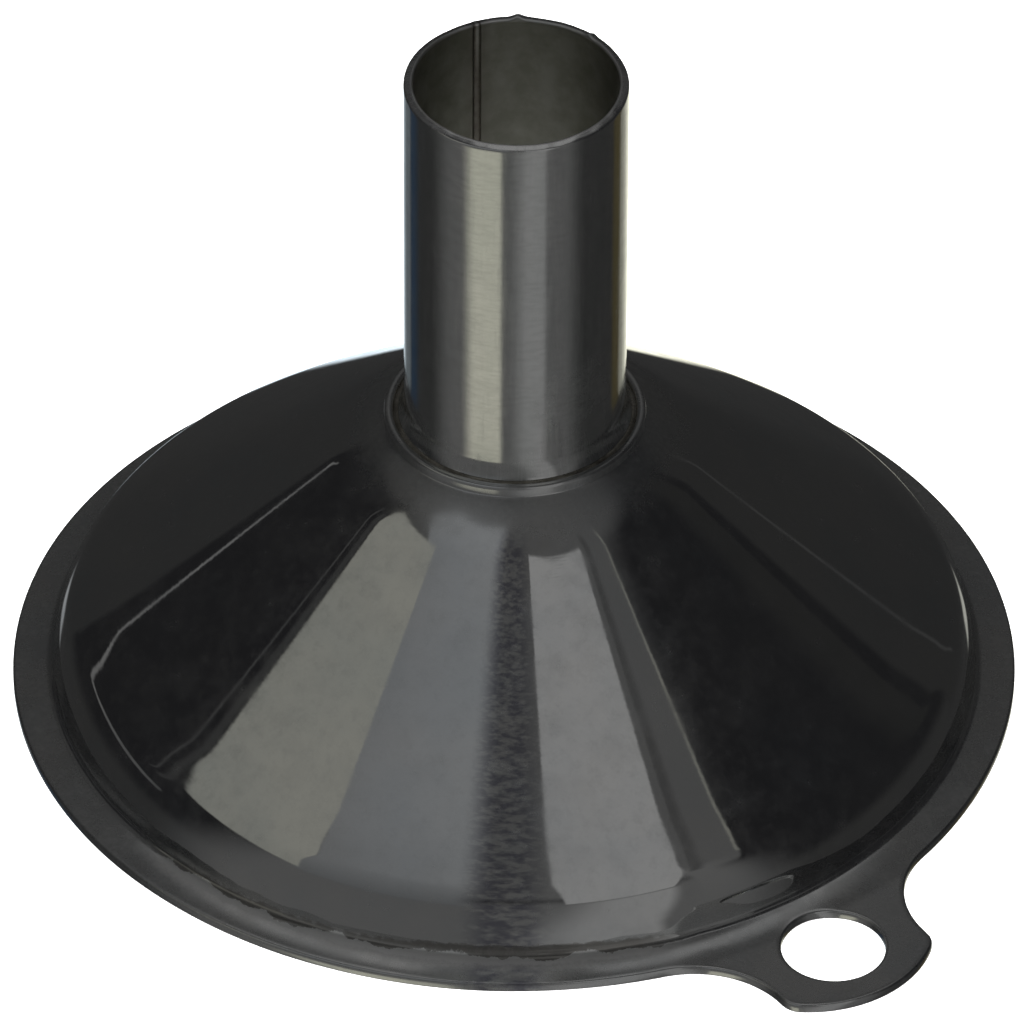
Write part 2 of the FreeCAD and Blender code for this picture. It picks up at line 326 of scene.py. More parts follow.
def turned(skin, section, bearings, shape=None, closed=True):
    """Rows of points for a section turned through bearings; shape may move each point."""
    rows = []
    for radius, height in section:
        row = []
        for bearing in bearings:
            turn = math.radians(bearing)
            where = Vector((radius * math.cos(turn), radius * math.sin(turn), height))
            row.append(shape(where, radius, bearing) if shape else where)
        rows.append(skin.add(row))
    for lower, upper in zip(rows, rows[1:]):
        skin.bridge(lower, upper, closed)
    return rows


def wave(point, period, seed):
    """Smooth noise from -1 to 1 with a period in millimetres."""
    return noise.noise(point / period + Vector((seed, seed * 1.7, seed * 2.3)))


def flat_fill(outer, holes, inside_points):
    """Points and triangles inside a flat outer loop and outside the round holes in it."""
    points = []
    edges = []
    hole_edges = []
    for loop in (outer, *holes):
        first = len(points)
        points.extend(loop)
        edges.extend((first + index, first + (index + 1) % len(loop)) for index in range(len(loop)))
        hole_edges.append(set(range(first, len(points))))
    hole_edges.pop(0)
    points.extend(inside_points)
    within_outline, tolerance = 1, 1e-5
    _, _, faces, origins, _, _ = geometry.delaunay_2d_cdt(points, edges, [], within_outline, tolerance)
    kept = []
    for face in faces:
        corners = tuple(origins[corner][0] for corner in face)
        # a triangle with every corner on one round hole's edge lies in that hole
        if not any(hole_edge.issuperset(corners) for hole_edge in hole_edges):
            kept.append(corners)
    return points, kept


def pressed(where):
    """The sheet's small unevenness: the flange droops and waves, and the front of the crease wanders."""
    radius = math.hypot(where.x, where.y)
    low = max(0.0, 1 - where.z / PRESSED_HEIGHT)
    off_front = math.degrees(math.atan2(where.y, where.x)) - CREASE_BEARING
    aside = abs((off_front + 180) % 360 - 180)
    fade = (CREASE_SPREAD[1] + CREASE_WANDER_FADE - aside) / CREASE_WANDER_FADE
    at_front = max(0.0, min(1.0, fade))
    near_crease = math.exp(-((radius - CREASE_WANDER_RADIUS) / CREASE_WANDER_WIDTH) ** 2)
    near_crease = near_crease * low * (0.1 + 0.9 * at_front)
    flat = Vector((where.x, where.y, 0))
    to_rim = min(1.0, max(0.0, (radius - FLANGE_FOOT) / (RIM_RADIUS - FLANGE_FOOT)))
    lift = FLANGE_DROOP * (1 - to_rim) ** 1.5 + (wave(flat, 6.0, 3.0) + 1) * FLANGE_WAVE
    lift += wave(flat, 0.9, 14.0) * 0.012 * near_crease
    shift = (wave(flat, 1.3, 8.0) * 0.06 + wave(flat, 4.0, 5.0) * 0.07) * near_crease
    out = flat / max(radius, 1e-6)
    return where + out * shift + Vector((0, 0, lift * low))


def make_bowl(material):
    """The pressing: the turned bowl, the plate's sheared edges, and the flat between them."""
    skin = Skin()
    bearings = [360 * step / BOWL_STEPS for step in range(BOWL_STEPS)]
    rows = turned(skin, bowl_section(), bearings)
    top_join, bottom_join = rows[0], rows[-1]

    outline = plate_outline(OUTLINE_SPACING)
    hole_loop = outline_arc((HOLE_OFFSET, 0), HOLE_RADIUS, 0, 360, HOLE_SPACING)
    hole = [(point, -ray) for point, ray in hole_loop]
    borders = []
    for border in (outline, hole):
        rings = []
        for inset, height in SHEARED_EDGE:
            rings.append(skin.add(
                (point.x - ray.x * inset, point.y - ray.y * inset, height) for point, ray in border
            ))
        for upper, lower in zip(rings, rings[1:]):
            skin.bridge(upper, lower)
        borders.append((rings[0], rings[-1]))
    borders.append((top_join, bottom_join))
    inside = tab_grid(outline)
    for ring in range(1, 3):
        loop = outline_arc((0, 0), JOIN_RADIUS + RING_STEP * ring, 0, 360, RING_SPACING)
        inside.extend(point for point, _ in loop if clear_of_hole(point))

    outer, *holes = ([skin.points[index].xy for index in top] for top, _ in borders)
    flat, faces = flat_fill(outer, holes, inside)
    for side, height in ((0, SHEET), (1, 0.0)):
        indices = [index for border in borders for index in border[side]]
        indices += skin.add((point.x, point.y, height) for point in flat[len(indices):])
        for face in faces:
            skin.faces.append(tuple(indices[corner] for corner in face))
    skin.points = [pressed(point) for point in skin.points]
    return skin.piece("bowl_skin", material, "bowl_steel", "bowl")


def clear_of_hole(point):
    """Whether a flat point is far enough from the hanging hole to be a corner of a triangle."""
    return (point - Vector((HOLE_OFFSET, 0))).length > HOLE_RADIUS + 0.6


def inside_outline(point, outline):
    """Whether a flat point lies inside the outline, by counting crossings."""
    inside = False
    corners = [corner for corner, _ in outline]
    for first, second in zip(corners, corners[1:] + corners[:1]):
        if (first.y > point.y) != (second.y > point.y):
            if point.x < first.x + (second.x - first.x) * (point.y - first.y) / (second.y - first.y):
                inside = not inside
    return inside


def tab_grid(outline):
    """Points in staggered rows on the tab's flat, clear of its edges, the hole and the flange's rings."""
    found = []
    margin = 0.6
    width, reach = 24, 10
    corners = [corner for corner, _ in outline if corner.x > 20]
    steps = int(width / GRID_SPACING)
    for row in range(-steps // 2, steps // 2):
        for column in range(int(reach / GRID_SPACING)):
            across = RIM_RADIUS - margin + (column + 0.5 * (row % 2)) * GRID_SPACING
            point = Vector((across, row * GRID_SPACING * 0.87))
            clear = (
                point.length > JOIN_RADIUS + 1.0
                and clear_of_hole(point)
                and inside_outline(point, outline)
                and min((corner - point).length for corner in corners) > margin
            )
            if clear:
                found.append(point)
    return found


def flare():
    """The spout foot's flare: cone angle, neck hole's edge, centre and radius."""
    slope = math.atan2(LIP_BASE[1] - SHOULDER[1], SHOULDER[0] - LIP_BASE[0])
    across = LIP_BASE[0] - SHEET
    up = LIP_BASE[1] + SHEET * (math.tan(slope) - 1 / math.cos(slope))
    radius = (across - SPOUT_RADIUS) / (1 - math.sin(slope))
    centre = Vector((SPOUT_RADIUS + radius, up + radius * math.cos(slope)))
    return slope, Vector((across, up)), centre, radius


def spout_section():
    """The spout's wall: outside downwards, flare, skirt under the cone, and back up the bore."""
    slope, neck, centre, radius = flare()
    under = Vector((-math.sin(slope), -math.cos(slope))) * SHEET
    hem = Vector((SKIRT_RADIUS, neck.y - (SKIRT_RADIUS - neck.x) * math.tan(slope)))
    inside = SPOUT_RADIUS - SHEET
    arc_steps = 9

    def arc(size):
        sweep = 90 - math.degrees(slope)
        turns = [math.radians(180 + sweep * step / arc_steps) for step in range(arc_steps + 1)]
        return [centre + Vector((math.cos(turn), math.sin(turn))) * size for turn in turns]

    end = rounded([
        ((inside, SPOUT_END - CUT_DEPTH), 0, 0, 6),
        ((inside, SPOUT_END), CUT_ROUND, 7, 3),
        ((SPOUT_RADIUS, SPOUT_END - CUT_BEVEL), CUT_ROUND, 7, 6),
        ((SPOUT_RADIUS, SPOUT_END - CUT_DEPTH), 0, 0, 0),
    ])
    return (
        end
        + stretch((SPOUT_RADIUS, SPOUT_END - CUT_DEPTH), (SPOUT_RADIUS, centre.y), 24)[1:]
        + arc(radius)
        + stretch(neck, hem, 4)[1:]
        + [hem, hem + under]
        + stretch(hem + under, neck + under, 4)[1:]
        + list(reversed(arc(radius + SHEET)))
        + stretch((inside, centre.y), (inside, SPOUT_END - CUT_DEPTH), 24)[1:]
    )


def cut_end(where, radius, bearing):
    """The spout's cut end isn't quite level, and the saw left two small burrs."""
    near_end = max(0.0, 1 - (SPOUT_END - where.z) / BURR_DEPTH)
    flat = Vector((where.x, where.y, 0))
    lift = wave(flat, 2.2, 11.0) * 0.05 + wave(flat, 0.7, 12.0) * 0.02
    for burr_bearing, width, height in BURRS:
        away = (bearing - burr_bearing + 180) % 360 - 180
        lift += height * math.exp(-(away / width) ** 2)
    return where + Vector((0, 0, lift * near_end))


def make_spout(material):
    """The rolled strip, open where the seam closes it."""
    skin = Skin()
    start = SEAM_BEARING + SEAM_ANGLE / 2
    sweep = 360 - SEAM_ANGLE
    bearings = [start + sweep * step / SPOUT_STEPS for step in range(SPOUT_STEPS + 1)]
    section = spout_section()
    rows = turned(skin, section, bearings, cut_end, closed=False)
    skin.bridge(rows[-1], rows[0], closed=False)
    skin.cap([row[0] for row in rows])
    skin.cap([row[-1] for row in reversed(rows)])
    return skin.piece("spout_skin", material, "spout_steel", "spout_tube")


def make_seam(material):
    """The weld bead: as thick as the wall and slightly crowned, with small ripples along it."""
    skin = Skin()
    section = spout_section()
    steps = 10
    bearings = [SEAM_BEARING + SEAM_ANGLE * (step / steps - 0.5) for step in range(steps + 1)]
    middle = SPOUT_RADIUS - SHEET / 2

    def crowned(where, radius, bearing):
        across = (bearing - SEAM_BEARING) / (SEAM_ANGLE / 2)
        crown = 1 - across * across
        ripple = 1 + BEAD_RIPPLE * math.sin(2 * math.pi * where.z / BEAD_PERIOD + across * across * 2)
        side = 1 if radius > middle else -1
        out = Vector((where.x, where.y, 0)).normalized()
        return cut_end(where, radius, bearing) + out * side * crown * ripple * BEAD_CROWN

    rows = turned(skin, section, bearings, crowned, closed=False)
    skin.bridge(rows[-1], rows[0], closed=False)
    skin.cap([row[0] for row in rows])
    skin.cap([row[-1] for row in reversed(rows)])
    return skin.piece("seam_bead", material, "weld_steel", "seam_weld")


def make_braze(material):
    """The ring of braze in the groove between the flare and the neck lip, uneven as it froze."""
    skin = Skin()
    _, neck, centre, radius = flare()
    turn = math.asin((centre.y - neck.y - BRAZE_ON_FLARE) / radius)
    foot_turn = math.asin((centre.y - neck.y) / radius)
    count = 6
    on_flare = []
    for step in range(count + 1):
        angle = math.pi + foot_turn + (turn - foot_turn) * step / count
        on_flare.append(centre + Vector((math.cos(angle), math.sin(angle))) * radius)
    lip_side = neck + Vector((0, BRAZE_ON_NECK))
    top = [on_flare[-1].lerp(lip_side, step / count) for step in range(1, count + 1)]
    section = on_flare + top
    middle = (on_flare[-1].x + lip_side.x) / 2
    top_depth = 0.03
    half_width = 0.14

    def lumpy(where, ring_radius, bearing):
        free = max(0.0, 1 - abs(ring_radius - middle) / half_width)
        on_top = 1 if where.z > lip_side.y - top_depth else 0
        lift = BRAZE_CROWN + BRAZE_LUMPS * wave(where, 0.9, 4.0)
        return where + Vector((0, 0, on_top * free * lift))

    bearings = [360 * step / SPOUT_STEPS for step in range(SPOUT_STEPS)]
    rows = turned(skin, section, bearings, lumpy)
    skin.bridge(rows[-1], rows[0])
    return skin.piece("braze_ring", material, "braze_metal", "neck_braze")


# ---------------------------------------------------------------- materials

HAZE_ROUGHNESS = 0.45
BRIGHT_STEEL = (0.7, 0.7, 0.69, 1)
SMUDGED_STEEL = (0.64, 0.655, 0.66, 1)
SCUFFED_STEEL = (0.27, 0.27, 0.33, 1)
# painted highlight: the bright band on the flange's side of the crease, at the front
CREASE_HIGHLIGHT_PAINT = (0.94, 0.94, 0.93, 1)
# painted shade: the dark band on the wall's side of the crease, at the front
CREASE_SHADE_PAINT = (0.4, 0.39, 0.37, 1)


class Graph:
    """Short names for making a material's nodes."""

    def __init__(self, name):
        self.material = bpy.data.materials.new(name)
        self.material.use_nodes = True
        self.tree = self.material.node_tree
        self.tree.nodes.clear()

    def node(self, kind, **settings):
        made = self.tree.nodes.new(kind)
        for key, value in settings.items():
            setattr(made, key, value)
        return made

    def put(self, socket, value):
        if isinstance(value, bpy.types.NodeSocket):
            self.tree.links.new(value, socket)
        else:
            socket.default_value = value

    def math(self, operation, *values):
        made = self.node("ShaderNodeMath", operation=operation)
        for socket, value in zip(made.inputs, values):
            self.put(socket, value)
        return made.outputs[0]

    def vector(self, *values):
        made = self.node("ShaderNodeCombineXYZ")
        for socket, value in zip(made.inputs, values):
            self.put(socket, value)
        return made.outputs[0]

    def noise(self, vector, scale, detail, roughness):
        made = self.node("ShaderNodeTexNoise")
        self.put(made.inputs["Vector"], vector)
        self.put(made.inputs["Scale"], scale)
        self.put(made.inputs["Detail"], detail)
        self.put(made.inputs["Roughness"], roughness)
        return made.outputs["Fac"]

    def remap(self, value, low, high, to_low, to_high):
        made = self.node("ShaderNodeMapRange", clamp=True)
        for socket, number in zip(made.inputs, (value, low, high, to_low, to_high)):
            self.put(socket, number)
        return made.outputs[0]

    def mix(self, share, first, second):
        made = self.node("ShaderNodeMix", data_type="RGBA")
        self.put(made.inputs["Factor"], share)
        self.put(made.inputs["A"], first)
        self.put(made.inputs["B"], second)
        return made.outputs["Result"]

    def place(self):
        """The surface point in millimetres, its radius, the unit direction from the axis, and its height."""
        coordinates = self.node("ShaderNodeTexCoord")
        scaled = self.node("ShaderNodeVectorMath", operation="SCALE")
        self.put(scaled.inputs[0], coordinates.outputs["Object"])
        self.put(scaled.inputs["Scale"], 1 / MM)
        split = self.node("ShaderNodeSeparateXYZ")
        self.put(split.inputs[0], scaled.outputs[0])
        across, along, up = split.outputs
        across_squared = self.math("MULTIPLY", across, across)
        squares = self.math("ADD", across_squared, self.math("MULTIPLY", along, along))
        radius = self.math("SQRT", squares)
        east, north = self.math("DIVIDE", across, radius), self.math("DIVIDE", along, radius)
        return scaled.outputs[0], radius, east, north, up


def facing(graph, place, bearing, inner, outer, wander=0.0):
    """1 within the inner angle of a bearing, falling to 0 at the outer angle, in degrees.

    wander, in radians, makes the edges ragged.
    """
    _, _, east, north, _ = place
    turn = math.radians(bearing)
    ahead = graph.math("MULTIPLY_ADD", north, math.sin(turn), graph.math("MULTIPLY", east, math.cos(turn)))
    aside = graph.math("MULTIPLY_ADD", north, math.cos(turn), graph.math("MULTIPLY", east, -math.sin(turn)))
    angle = graph.math("ADD", graph.math("ABSOLUTE", graph.math("ARCTAN2", aside, ahead)), wander)
    return graph.remap(angle, math.radians(inner), math.radians(outer), 1.0, 0.0)


def around(graph, place, centre, size):
    """1 at a point given in millimetres, falling to 0 at a distance from it."""
    away = graph.node("ShaderNodeVectorMath", operation="DISTANCE")
    graph.put(away.inputs[0], place[0])
    graph.put(away.inputs[1], centre)
    return graph.remap(away.outputs["Value"], 0.0, size, 1.0, 0.0)


def summed(graph, *values):
    """Sum of several sockets."""
    added = values[0]
    for value in values[1:]:
        added = graph.math("ADD", added, value)
    return added


def finish_metal(graph, paint, shine, haze, height, depth):
    """Polished metal with a share of hazy, scuffed metal over fine relief; depth is in millimetres."""
    bump = graph.node("ShaderNodeBump")
    graph.put(bump.inputs["Strength"], 1.0)
    graph.put(bump.inputs["Distance"], depth * MM)
    graph.put(bump.inputs["Height"], height)
    blend = graph.node("ShaderNodeMixShader")
    graph.put(blend.inputs[0], haze)
    for socket, roughness in zip(blend.inputs[1:], (shine, HAZE_ROUGHNESS)):
        surface = graph.node("ShaderNodeBsdfPrincipled")
        graph.put(surface.inputs["Base Color"], paint)
        graph.put(surface.inputs["Metallic"], 1.0)
        graph.put(surface.inputs["Roughness"], roughness)
        graph.put(surface.inputs["Normal"], bump.outputs[0])
        graph.put(socket, surface.outputs[0])
    output = graph.node("ShaderNodeOutputMaterial")
    graph.put(output.inputs["Surface"], blend.outputs[0])
    return graph.material


def bowl_steel():
    """Pressed sheet: polishing rings, specks, smudges, a scuffed strip, painted shade and highlight at the
    crease.
    """
    graph = Graph("bowl_polished_steel")
    place = graph.place()
    point, radius, east, north, up = place
    run = graph.math("SUBTRACT", radius, up)
    lines = graph.noise(graph.vector(graph.math("MULTIPLY", run, 2.6), graph.math("MULTIPLY", east, 7.0),
                                     graph.math("MULTIPLY", north, 7.0)), 1.0, 3.0, 0.6)
    specks = graph.noise(point, 2.2, 3.0, 0.6)
    blotches = graph.noise(point, 1.3, 4.0, 0.68)
    mottle = graph.noise(point, 0.5, 4.0, 0.6)
    smudges = graph.noise(point, 0.16, 3.0, 0.55)

    streaks = graph.noise(graph.vector(graph.math("MULTIPLY", run, 2.6), graph.math("MULTIPLY", east, 26.0),
                                       graph.math("MULTIPLY", north, 26.0)), 1.0, 2.0, 0.6)
    edge_wander = graph.remap(streaks, 0.3, 0.7, -0.025, 0.025)
    scuffed = graph.math("MULTIPLY", facing(graph, place, SCUFF_BEARING, *SCUFF_SPREAD, wander=edge_wander),
                         graph.remap(radius, 8.6, 9.8, 0.0, 1.0))
    neck = graph.math("MULTIPLY", graph.remap(radius, 7.2, 7.5, 0.0, 1.0),
                      graph.remap(radius, 7.9, 9.7, 1.0, 0.0))
    lip = graph.remap(radius, 7.2, 7.5, 1.0, 0.0)
    rim = graph.remap(radius, 25.3, 25.7, 0.0, 1.0)

    ragged = graph.remap(graph.noise(point, 2.0, 3.0, 0.65), 0.3, 0.7, -0.1, 0.1)
    creased = facing(graph, place, CREASE_BEARING, *CREASE_SPREAD)
    off_across = graph.math("SUBTRACT", radius, CREASE_PLACE[0])
    off_up = graph.math("SUBTRACT", up, CREASE_PLACE[1])
    off_crease = graph.math("SQRT", graph.math("MULTIPLY_ADD", off_across, off_across,
                                               graph.math("MULTIPLY", off_up, off_up)))
    # painted shade: a ragged dark band on the crease's wall, on the front side only
    reach = graph.remap(facing(graph, place, SHADE_BEARING, *SHADE_SPREAD), 0.0, 1.0, *SHADE_REACH)
    within = graph.math("SUBTRACT", graph.math("ADD", off_crease, ragged), reach)
    scallops = graph.remap(graph.noise(point, 0.42, 2.0, 0.55), 0.35, 0.65, -0.2, 0.2)
    on_wall = graph.remap(summed(graph, off_across, scallops, ragged), 0.0, 0.06, 1.0, 0.0)
    on_flange = graph.math("SUBTRACT", 1.0, on_wall)
    painted_shade = graph.math("MULTIPLY", graph.remap(within, -0.05, 0.1, 1.0, 0.0),
                      graph.math("MULTIPLY", on_wall, creased))
    # painted highlight: a bright band on the flange's side of the crease, on the front side only
    near = graph.remap(graph.math("ADD", off_across, ragged), 0.35, 1.0, 1.0, 0.0)
    painted_highlight = graph.math("MULTIPLY", near, graph.math("MULTIPLY", on_flange, creased))

    haze = summed(
        graph,
        graph.remap(mottle, 0.42, 0.68, 0.0, 0.16),
        graph.remap(blotches, 0.5, 0.72, 0.0, 0.16),
        graph.math("MULTIPLY", graph.remap(specks, 0.5, 0.8, 0.0, 0.2), graph.math("ADD", scuffed, 0.4)),
        graph.math("MULTIPLY", neck, 0.35),
        graph.math("MULTIPLY", lip, 0.25),
        graph.math("MULTIPLY", rim, 0.2),
        graph.math("MULTIPLY", painted_shade, 0.5),
        graph.math("MULTIPLY", painted_highlight, 0.8),
    )
    shine = summed(
        graph,
        graph.remap(smudges, 0.35, 0.7, 0.02, 0.045),
        graph.remap(mottle, 0.45, 0.75, 0.0, 0.05),
        graph.math("MULTIPLY", neck, 0.16),
        graph.math("MULTIPLY", lip, 0.1),
        graph.math("MULTIPLY", rim, 0.1),
    )

    paint = graph.mix(graph.remap(smudges, 0.4, 0.7, 0.0, 1.0), BRIGHT_STEEL, SMUDGED_STEEL)
    paint = graph.mix(graph.math("MULTIPLY", graph.remap(streaks, 0.38, 0.62, 0.0, 0.8), scuffed), paint,
                      SCUFFED_STEEL)
    # painted shade at the crease
    paint = graph.mix(painted_shade, paint, CREASE_SHADE_PAINT)
    # painted highlight at the crease
    paint = graph.mix(painted_highlight, paint, CREASE_HIGHLIGHT_PAINT)

    relief = graph.math("ADD", graph.math("MULTIPLY", lines, 0.6), graph.math("MULTIPLY", mottle, 1.4))
    return finish_metal(graph, paint, shine, haze, relief, 0.0011)


def spout_steel():
    """Rolled tube: lines along it, faint rings, a dull bore with painted shade, a bright cut end, a heated
    seam, a smudge.
    """
    graph = Graph("spout_rolled_steel")
    place = graph.place()
    point, radius, east, north, up = place
    lines = graph.noise(graph.vector(graph.math("MULTIPLY", east, 24.0), graph.math("MULTIPLY", north, 24.0),
                                     graph.math("MULTIPLY", up, 0.35)), 1.0, 4.0, 0.62)
    bands = graph.noise(graph.vector(graph.math("MULTIPLY", east, 3.2), graph.math("MULTIPLY", north, 3.2),
                                     graph.math("MULTIPLY", up, 0.07)), 1.0, 2.0, 0.5)
    specks = graph.noise(point, 2.6, 3.0, 0.6)
    mottle = graph.noise(point, 0.7, 3.0, 0.6)
    rings = graph.noise(graph.vector(graph.math("MULTIPLY", east, 7.0), graph.math("MULTIPLY", north, 7.0),
                                     graph.math("MULTIPLY", up, 5.0)), 1.0, 3.0, 0.6)
    bore = graph.remap(radius, 5.72, 5.6, 0.0, 1.0)
    heated = facing(graph, place, SEAM_BEARING, 3.5, 9.0)
    cut = graph.remap(up, SPOUT_END - 0.22, SPOUT_END - 0.1, 0.0, 1.0)
    foot = graph.remap(up, 18.2, 20.5, 1.0, 0.0)
    smudge = around(graph, place, SMUDGE_PLACE, SMUDGE_SIZE)

    haze = summed(
        graph,
        graph.remap(mottle, 0.4, 0.7, 0.04, 0.16),
        graph.remap(lines, 0.5, 0.75, 0.0, 0.16),
        graph.math("MULTIPLY", smudge, graph.remap(mottle, 0.3, 0.6, 0.1, 0.7)),
        graph.math("MULTIPLY", foot, 0.2),
        graph.math("MULTIPLY", bore, 0.5),
        graph.math("MULTIPLY", cut, 0.12),
    )
    shine = summed(
        graph,
        graph.remap(lines, 0.3, 0.75, 0.09, 0.17),
        graph.math("MULTIPLY", bore, 0.22),
    )
    paint = graph.mix(graph.remap(bands, 0.35, 0.65, 0.0, 1.0),
                      (0.76, 0.76, 0.75, 1), (0.68, 0.7, 0.68, 1))
    paint = graph.mix(graph.remap(lines, 0.62, 0.35, 0.0, 0.16), paint, (0.42, 0.42, 0.44, 1))
    paint = graph.mix(graph.remap(rings, 0.58, 0.35, 0.0, 0.22), paint, (0.42, 0.43, 0.41, 1))
    # the bore is dull steel, and is painted darker as well for the shade inside it
    dull_and_shaded_bore = graph.mix(graph.remap(mottle, 0.35, 0.65, 0.0, 1.0),
                     (0.44, 0.44, 0.39, 1), (0.58, 0.58, 0.54, 1))
    paint = graph.mix(bore, paint, dull_and_shaded_bore)
    paint = graph.mix(cut, paint, (0.88, 0.88, 0.87, 1))
    paint = graph.mix(graph.math("MULTIPLY", heated, 0.3), paint, (0.28, 0.24, 0.22, 1))
    relief = summed(graph, graph.math("MULTIPLY", lines, 0.9), graph.math("MULTIPLY", specks, 0.4),
                   graph.math("MULTIPLY", rings, 0.6))
    return finish_metal(graph, paint, shine, haze, relief, 0.0016)


def weld_steel():
    """Weld bead: a crown that is bright near the cut end, between darker heat-coloured toes."""
    graph = Graph("weld_bead_steel")
    place = graph.place()
    point, _, _, _, up = place
    crown = facing(graph, place, SEAM_BEARING, 0.5, 1.3)
    crown = graph.math("MULTIPLY", crown, graph.remap(up, SPOUT_END - 3.5, SPOUT_END - 0.6, 0.12, 1.0))
    ripples = graph.noise(point, 3.0, 3.0, 0.6)
    paint = graph.mix(graph.remap(ripples, 0.35, 0.65, 0.0, 1.0),
                      (0.33, 0.29, 0.27, 1), (0.42, 0.39, 0.36, 1))
    paint = graph.mix(crown, paint, (0.9, 0.89, 0.87, 1))
    haze = graph.remap(ripples, 0.35, 0.7, 0.3, 0.8)
    return finish_metal(graph, paint, 0.28, haze, ripples, 0.004)


def braze_metal():
    """Braze frozen in the groove: dull, lumpy and a little yellow."""
    graph = Graph("braze_filler_metal")
    point = graph.place()[0]
    lumps = graph.noise(point, 1.4, 4.0, 0.6)
    stains = graph.noise(point, 0.5, 3.0, 0.6)
    paint = graph.mix(graph.remap(stains, 0.35, 0.65, 0.0, 1.0),
                      (0.6, 0.57, 0.5, 1), (0.34, 0.32, 0.27, 1))
    haze = graph.remap(lumps, 0.35, 0.7, 0.15, 0.6)
    return finish_metal(graph, paint, 0.17, haze, lumps, 0.005)


# ---------------------------------------------------------------- studio

CAMERA_AZIMUTH = 54.7
CAMERA_ELEVATION = 39.4
CAMERA_DISTANCE = 0.713
CAMERA_LENS = 456.3
CAMERA_AIM_HEIGHT = 0.01073
CAMERA_AIM_LEFT = 0.00014
CAMERA_ROLL = 0.22
CAMERA_BEARING = CAMERA_AZIMUTH - 90


def toward(bearing, elevation):
    """Direction from the funnel to a bearing right of the camera and an elevation, both in degrees."""
    turn, lift = math.radians(CAMERA_BEARING + bearing), math.radians(elevation)
    return Vector((math.cos(turn) * math.cos(lift), math.sin(turn) * math.cos(lift), math.sin(lift)))


def make_camera():
    """A long lens at the photograph's viewing angle, a little rolled."""
    turn = math.radians(CAMERA_BEARING)
    camera = bpy.data.objects.new("camera", bpy.data.cameras.new("camera"))
    camera.data.lens = CAMERA_LENS
    camera.data.clip_start = 0.05
    camera.data.clip_end = 20
    camera.location = toward(0, CAMERA_ELEVATION) * CAMERA_DISTANCE
    left = Vector((math.sin(turn), -math.cos(turn), 0))
    aim = Vector((0, 0, CAMERA_AIM_HEIGHT)) + left * CAMERA_AIM_LEFT - camera.location
    roll = Quaternion((0, 0, 1), math.radians(CAMERA_ROLL))
    camera.rotation_mode = "QUATERNION"
    camera.rotation_quaternion = aim.to_track_quat("-Z", "Y") @ roll
    bpy.context.scene.collection.objects.link(camera)
    bpy.context.scene.camera = camera


def stage_mesh(name, points, faces, material):
    """A piece of the studio, which isn't part of the object."""
    mesh = bpy.data.meshes.new(name)
    mesh.from_pydata(points, [], faces)
    mesh.materials.append(material)
    mesh.shade_smooth()
    made = bpy.data.objects.new(name, mesh)
    bpy.context.scene.collection.objects.link(made)
    return made


def pale_material(name, glow):
    """Matt white paper that glows evenly."""
    graph = Graph(name)
    paper = graph.node("ShaderNodeBsdfDiffuse")
    graph.put(paper.inputs["Color"], (0.9, 0.9, 0.9, 1))
    light = graph.node("ShaderNodeEmission")
    graph.put(light.inputs["Strength"], glow)
    both = graph.node("ShaderNodeAddShader")
    graph.put(both.inputs[0], paper.outputs[0])
    graph.put(both.inputs[1], light.outputs[0])
    output = graph.node("ShaderNodeOutputMaterial")
    graph.put(output.inputs["Surface"], both.outputs[0])
    return graph.material


def make_cove():
    """A pale floor that curves up into an all-round wall. Polished metal doesn't mirror it."""
    floor_radius, bend, top, steps = 1.8, 0.5, 3.0, 96
    section = [(0.0, 0.0), (0.3, 0.0), (0.9, 0.0), (floor_radius, 0.0)]
    for step in range(1, 13):
        turn = math.pi / 2 * step / 12
        section.append((floor_radius + bend * math.sin(turn), bend * (1 - math.cos(turn))))
    section.append((floor_radius + bend, top))
    points = [Vector((0, 0, 0))]
    faces = []
    for radius, height in section[1:]:
        for step in range(steps):
            turn = 2 * math.pi * step / steps
            points.append(Vector((radius * math.cos(turn), radius * math.sin(turn), height)))
    for step in range(steps):
        faces.append((0, 1 + step, 1 + (step + 1) % steps))
    for ring in range(len(section) - 2):
        for step in range(steps):
            after = (step + 1) % steps
            low, high = 1 + ring * steps, 1 + (ring + 1) * steps
            faces.append((low + step, high + step, high + after, low + after))
    cove = stage_mesh("pale_floor", points, faces, pale_material("pale_paper", 0.8))
    cove.visible_glossy = False
    cove.visible_shadow = False


def make_mouth_floor():
    """The floor shut in under the bowl, where hardly any light comes: the bore does mirror this one."""
    radius, height, steps = 25.0 * MM, 0.02 * MM, 64
    ring = [2 * math.pi * step / steps for step in range(steps)]
    points = [Vector((radius * math.cos(turn), radius * math.sin(turn), height)) for turn in ring]
    stage_mesh("floor_under_mouth", points, [tuple(range(steps))], pale_material("shaded_paper", 0.3))


WARM = (1.0, 1.0, 0.9)
NEUTRAL = (1.0, 1.0, 1.0)
COOL = (0.94, 0.97, 1.0)
CREAM = (1.0, 0.99, 0.83)
SKY = (0.8, 0.92, 1.0)
OCHRE = (1.0, 0.83, 0.4)
NAVY = (0.35, 0.6, 1.0)


def strip(middle_line, width):
    """The two rails of a narrow card that follows a line of (bearing, elevation) points."""
    points = [Vector(point) for point in middle_line]
    rails = ([], [])
    for index, point in enumerate(points):
        along = points[min(index + 1, len(points) - 1)] - points[max(index - 1, 0)]
        across = Vector((along.y, -along.x)).normalized() * width / 2
        rails[0].append(tuple(point - across))
        rails[1].append(tuple(point + across))
    return rails


def upright(left, right, foot, head):
    """The two rails of a card with upright sides at two bearings, between two elevations."""
    return ((left, foot), (left, head)), ((right, foot), (right, head))


